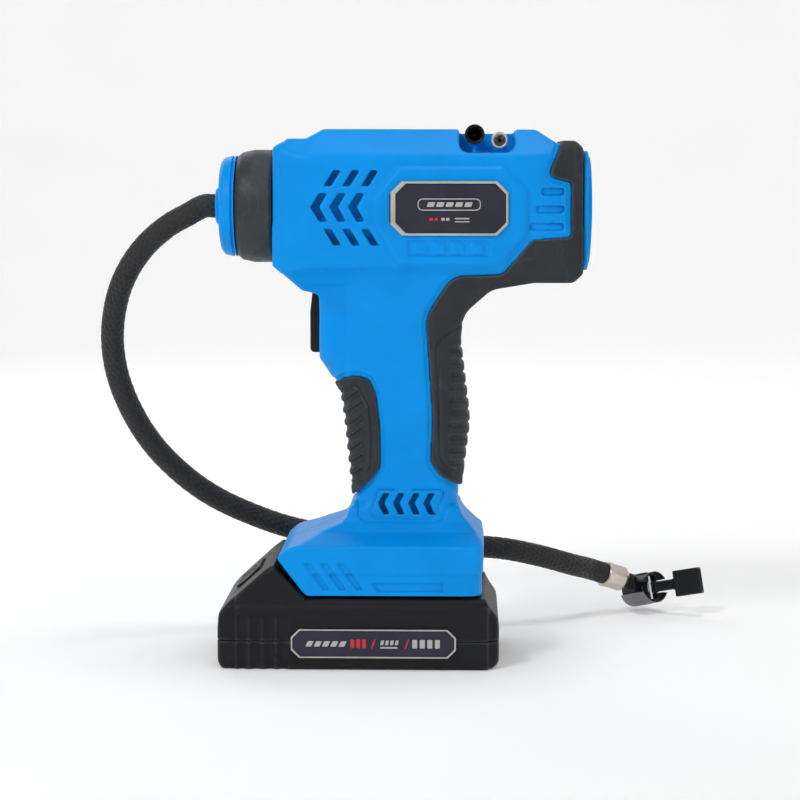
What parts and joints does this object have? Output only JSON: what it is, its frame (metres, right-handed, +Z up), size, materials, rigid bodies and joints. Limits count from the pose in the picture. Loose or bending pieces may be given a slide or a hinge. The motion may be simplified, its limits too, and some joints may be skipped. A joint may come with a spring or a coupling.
{
  "type": "cordless air pump",
  "caption": "Cordless pistol-grip air pump with a slide-on battery pack, a braided hose and a lever valve chuck.",
  "frame": {"origin": "on the ground, under the middle of the grip, on the flat underside of the battery pack", "axes": "+Z up, -X towards the hose end and trigger, +X towards the rear cap, +Y away from the label side"},
  "size_m": [0.2679, 0.1472, 0.2238],
  "materials": {
    "azure_plastic": "fine moulded grain, satin",
    "charcoal_rubber": "matt overmould, faintly marbled",
    "black_plastic": "fine moulded grain",
    "champagne_frame": "metallised bezel",
    "label_film": "dark speckled film",
    "steel": "brushed",
    "nickel": "warm nickel plate",
    "cast_alloy": "die cast",
    "copper_winding": "enamelled winding",
    "brass": "turned",
    "gear_nylon": "natural nylon",
    "circuit_board": "solder mask",
    "cell_wrap": "heat-shrink film",
    "cell_frame": "moulded",
    "hose_braid": "woven nylon braid",
    "seal_rubber": "matt"
  },
  "bodies": {
    "tool": {"housing_near": "azure_plastic", "housing_far": "azure_plastic", "rear_grip_cover": "charcoal_rubber", "front_grip_cover": "charcoal_rubber", "front_collar": "charcoal_rubber", "front_cap": "azure_plastic", "hose_gland": "azure_plastic", "rear_cap": "azure_plastic", "label_frame": "champagne_frame", "label_plate": "label_film", "case_screws": "steel", "trigger_spring": "steel", "trigger_switch": "black_plastic", "control_board": "circuit_board", "terminal_block": "black_plastic", "motor_can": "steel", "motor_magnets": "black_plastic", "motor_end_bell": "black_plastic", "gear_axle": "steel", "compressor_frame": "cast_alloy", "cylinder_sleeve": "steel", "cylinder_head": "cast_alloy", "outlet_tube": "seal_rubber", "air_hose": "hose_braid", "hose_ferrule": "nickel", "chuck_body": "black_plastic", "chuck_shell": "steel", "chuck_seal": "seal_rubber", "chuck_pin": "steel"},
    "trigger": {"trigger": "black_plastic"},
    "rotor": {"motor_rotor": "copper_winding", "cooling_fan": "black_plastic", "pinion": "brass"},
    "crank": {"crank_gear": "gear_nylon"},
    "piston": {"piston_rod": "cast_alloy", "piston_ring": "seal_rubber"},
    "battery": {"battery_case_top": "black_plastic", "battery_case_bottom": "black_plastic", "battery_cells": "cell_wrap", "cell_holder": "cell_frame", "battery_board": "circuit_board", "battery_contacts": "brass", "battery_label_frame": "champagne_frame", "battery_label_plate": "label_film", "button_spring": "steel", "battery_screws": "steel"},
    "release_button": {"release_button": "black_plastic"},
    "plastic_nozzle": {"plastic_nozzle": "black_plastic"},
    "needle_adapter": {"needle_adapter": "nickel"},
    "chuck_lever": {"chuck_lever": "black_plastic"}
  },
  "joints": [
    {"name": "trigger_pull", "type": "slide", "parent": "tool", "child": "trigger", "axis": [1, 0, 0], "range_m": [0, 0.005], "stiffness_N_per_m": 250, "springref_m": -0.004},
    {"name": "motor_spin", "type": "hinge", "parent": "tool", "child": "rotor", "pos_m": [0, 0, 0.19], "axis": [1, 0, 0], "continuous": true},
    {"name": "crank_spin", "type": "hinge", "parent": "tool", "child": "crank", "pos_m": [0, 0, 0.17425], "axis": [1, 0, 0], "continuous": true},
    {"name": "piston_stroke", "type": "slide", "parent": "tool", "child": "piston", "axis": [0, 0, -1], "range_m": [0, 0.014]},
    {"name": "battery_slide", "type": "slide", "parent": "tool", "child": "battery", "axis": [-1, 0, 0], "range_m": [0, 0.11]},
    {"name": "button_press", "type": "slide", "parent": "battery", "child": "release_button", "axis": [0.6678, 0, -0.7443], "range_m": [0, 0.0025], "stiffness_N_per_m": 300, "springref_m": -0.003},
    {"name": "nozzle_lift", "type": "slide", "parent": "tool", "child": "plastic_nozzle", "axis": [0, 0, 1], "range_m": [0, 0.03]},
    {"name": "adapter_lift", "type": "slide", "parent": "tool", "child": "needle_adapter", "axis": [0, 0, 1], "range_m": [0, 0.03]},
    {"name": "lever_swing", "type": "hinge", "parent": "tool", "child": "chuck_lever", "pos_m": [0.1136, 0.09376, 0.01164], "axis": [-0.141, 0.2171, 0.9659], "range_deg": [-35, 50]}
  ],
  "couplings": [
    {"joint": "crank_spin", "follows": "motor_spin", "ratio": -0.25}
  ]
}
